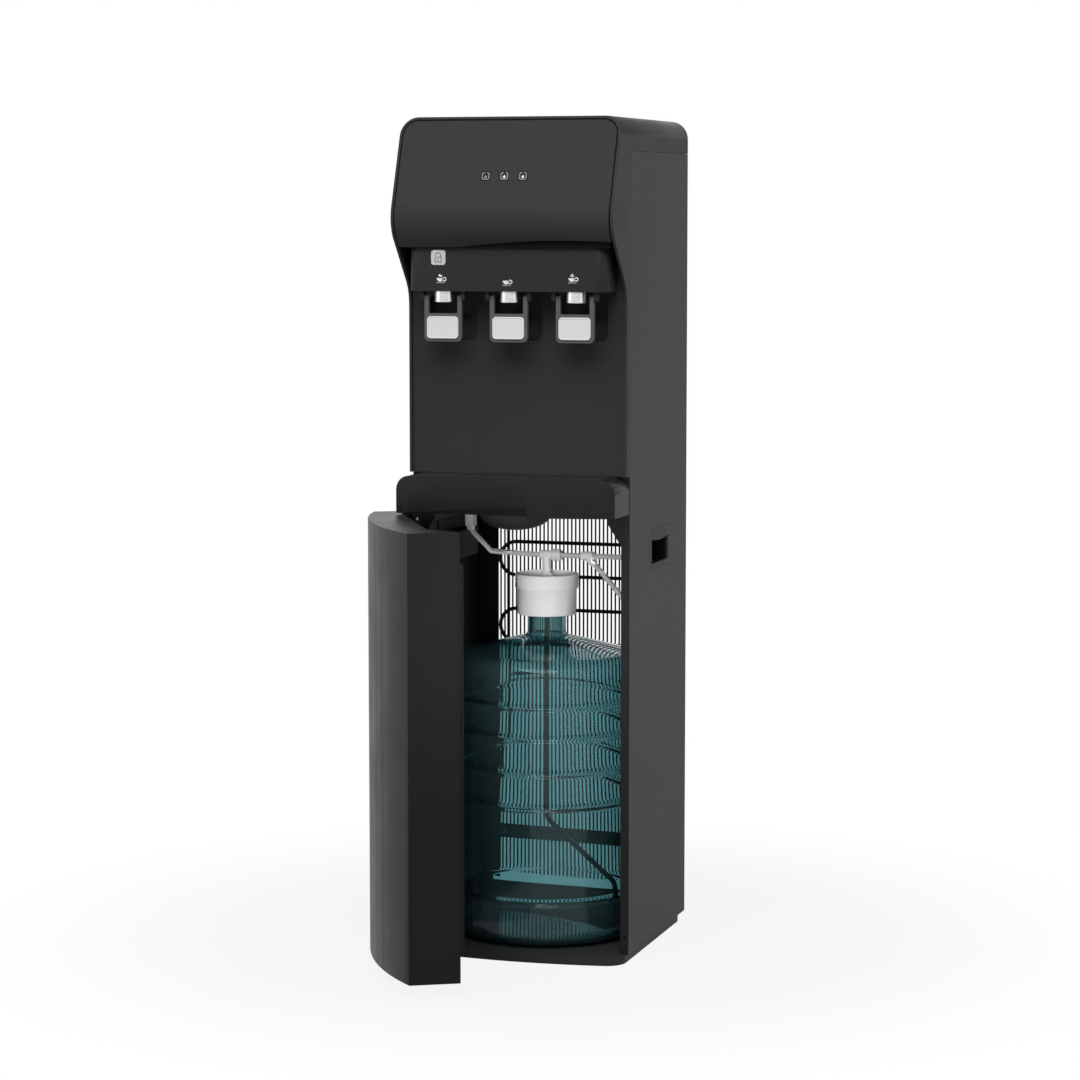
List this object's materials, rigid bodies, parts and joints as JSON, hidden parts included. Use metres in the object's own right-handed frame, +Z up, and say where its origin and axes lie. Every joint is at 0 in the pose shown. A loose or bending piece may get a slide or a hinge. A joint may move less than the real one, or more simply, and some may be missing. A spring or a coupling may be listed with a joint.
{
  "type": "bottom-loading water dispenser",
  "caption": "Floor-standing water dispenser with an open bottle door, tinted bottle under a probe cap, push paddles under metal spouts, drip tray and wire condenser behind.",
  "frame": {"origin": "on the floor under the middle of the side panels", "axes": "+Z up, -Y out of the front with the taps, +X to the right seen from the front"},
  "size_m": [0.356, 0.5987, 1.147],
  "materials": {
    "charcoal_moulding": "fine satin",
    "charcoal_steel": "powder coat",
    "dark_moulding": "satin",
    "dark_gloss": "semi gloss",
    "rubber_black": "matte",
    "clear_lens": "gloss",
    "board_green": "solder mask",
    "spout_steel": "brushed",
    "button_grey": "satin",
    "white_plastic": "satin",
    "paddle_grey": "satin",
    "bright_steel": "brushed",
    "bottle_tint": "clear tinted",
    "hose_clear": "translucent",
    "bare_zinc": "galvanised",
    "foam_cream": "foam",
    "black_enamel": "enamel",
    "switch_green": "gloss",
    "switch_red": "gloss"
  },
  "bodies": {
    "cabinet": {"base_pan": "charcoal_moulding", "levelling_feet": "rubber_black", "right_side_panel": "charcoal_steel", "left_side_panel": "charcoal_steel", "right_hand_grip": "charcoal_moulding", "left_hand_grip": "charcoal_moulding", "upper_hood": "charcoal_moulding", "front_cover": "charcoal_moulding", "indicator_lenses": "clear_lens", "control_board": "board_green", "tap_housing": "dark_moulding", "cold_spout": "spout_steel", "room_spout": "spout_steel", "hot_spout": "spout_steel", "tap_valves": "white_plastic", "splash_panel": "dark_moulding", "paddle_switches": "dark_moulding", "tray_housing": "dark_gloss", "drip_sump": "button_grey", "door_hinge_pins": "bright_steel", "water_bottle": "bottle_tint", "probe_cap": "white_plastic", "suction_tube": "hose_clear", "probe_tee": "white_plastic", "feed_hose": "hose_clear", "vent_hose": "hose_clear", "drain_hose": "hose_clear", "hose_branch": "white_plastic", "hose_fittings": "white_plastic", "machine_shelf": "bare_zinc", "cold_tank": "bright_steel", "tank_foam": "foam_cream", "hot_tank": "bright_steel", "compressor": "black_enamel", "water_pump": "dark_moulding", "cold_line": "hose_clear", "room_line": "hose_clear", "hot_line": "hose_clear", "condenser_rails": "black_enamel", "rear_brace": "black_enamel", "condenser_tube": "black_enamel", "condenser_wires": "black_enamel", "refrigerant_pipe": "black_enamel", "condenser_clips": "rubber_black", "rear_panel": "charcoal_steel", "switch_bezels": "dark_moulding", "cord_gland": "rubber_black", "drain_plug": "white_plastic"},
    "door": {"door_shell": "dark_gloss", "door_magnet": "rubber_black"},
    "grate": {"drip_grate": "dark_moulding"},
    "cold_lever": {"cold_paddle": "paddle_grey", "cold_pad": "white_plastic"},
    "room_lever": {"room_paddle": "paddle_grey", "room_pad": "white_plastic"},
    "hot_lever": {"hot_paddle": "paddle_grey", "hot_pad": "white_plastic"},
    "lock_key": {"child_lock_button": "button_grey"},
    "cooling_rocker": {"cooling_switch": "switch_green"},
    "heating_rocker": {"heating_switch": "switch_red"}
  },
  "joints": [
    {"name": "door_hinge", "type": "hinge", "parent": "cabinet", "child": "door", "pos_m": [-0.146, -0.159, 0.3], "axis": [0, 0, 1], "range_deg": [-40, 61.5]},
    {"name": "grate_lift", "type": "slide", "parent": "cabinet", "child": "grate", "axis": [0, 0, 1], "range_m": [0, 0.02]},
    {"name": "cold_press", "type": "hinge", "parent": "cabinet", "child": "cold_lever", "pos_m": [-0.093, -0.195, 0.906], "axis": [1, 0, 0], "range_deg": [0, 10], "stiffness_Nm_per_rad": 0.5, "springref_deg": -3.44},
    {"name": "room_press", "type": "hinge", "parent": "cabinet", "child": "room_lever", "pos_m": [0, -0.195, 0.906], "axis": [1, 0, 0], "range_deg": [0, 10], "stiffness_Nm_per_rad": 0.5, "springref_deg": -3.44},
    {"name": "hot_press", "type": "hinge", "parent": "cabinet", "child": "hot_lever", "pos_m": [0.093, -0.195, 0.906], "axis": [1, 0, 0], "range_deg": [0, 10], "stiffness_Nm_per_rad": 0.5, "springref_deg": -3.44},
    {"name": "lock_push", "type": "slide", "parent": "cabinet", "child": "lock_key", "axis": [0, 1, 0], "range_m": [0, 0.0012], "stiffness_N_per_m": 800, "springref_m": -0.0006},
    {"name": "cooling_rock", "type": "hinge", "parent": "cabinet", "child": "cooling_rocker", "pos_m": [-0.022, 0.143, 1], "axis": [1, 0, 0], "range_deg": [-18, 0]},
    {"name": "heating_rock", "type": "hinge", "parent": "cabinet", "child": "heating_rocker", "pos_m": [0.022, 0.143, 1], "axis": [1, 0, 0], "range_deg": [-18, 0]}
  ]
}
